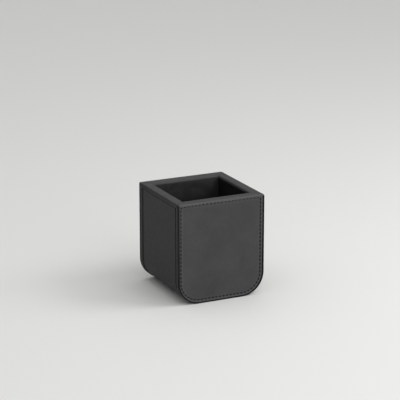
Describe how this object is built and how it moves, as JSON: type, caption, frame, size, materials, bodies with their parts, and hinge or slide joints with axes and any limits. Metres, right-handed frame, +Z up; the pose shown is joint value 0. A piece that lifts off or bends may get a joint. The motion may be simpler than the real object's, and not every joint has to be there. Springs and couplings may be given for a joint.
{
  "type": "leather dice cup",
  "caption": "Square open-topped cup of leather-covered board with stitched U-shaped end panels, rounded lower corners and a suede lining.",
  "frame": {"origin": "centre of the footprint, on the surface that the cup stands on", "axes": "+Z up through the open mouth; -Y is the front panel, +X to its right"},
  "size_m": [0.0906, 0.0918, 0.1],
  "materials": {
    "board": "raw medium-density fibreboard",
    "facing_leather": "matt charcoal leather, fine grain, black painted cut edges",
    "wrap_leather": "matt charcoal leather, fine grain",
    "rim_leather": "matt charcoal leather, skived and turned",
    "suede": "short-nap black suede lining",
    "thread": "waxed black polyester thread",
    "base_suede": "dark brown suede pad"
  },
  "bodies": {
    "root": {"front_panel_board": "board", "back_panel_board": "board", "front_wall_board": "board", "back_wall_board": "board", "left_wall_board": "board", "right_wall_board": "board", "left_corner_block": "board", "right_corner_block": "board", "floor_board": "board", "front_facing": "facing_leather", "back_facing": "facing_leather", "front_edge_strip": "rim_leather", "back_edge_strip": "rim_leather", "side_wrap": "wrap_leather", "left_rim_strip": "rim_leather", "right_rim_strip": "rim_leather", "front_rim_strip": "rim_leather", "back_rim_strip": "rim_leather", "front_lining": "suede", "back_lining": "suede", "side_lining": "suede", "front_thread": "thread", "back_thread": "thread", "front_gutter_thread": "thread", "back_gutter_thread": "thread", "base_pad": "base_suede"}
  },
  "joints": []
}
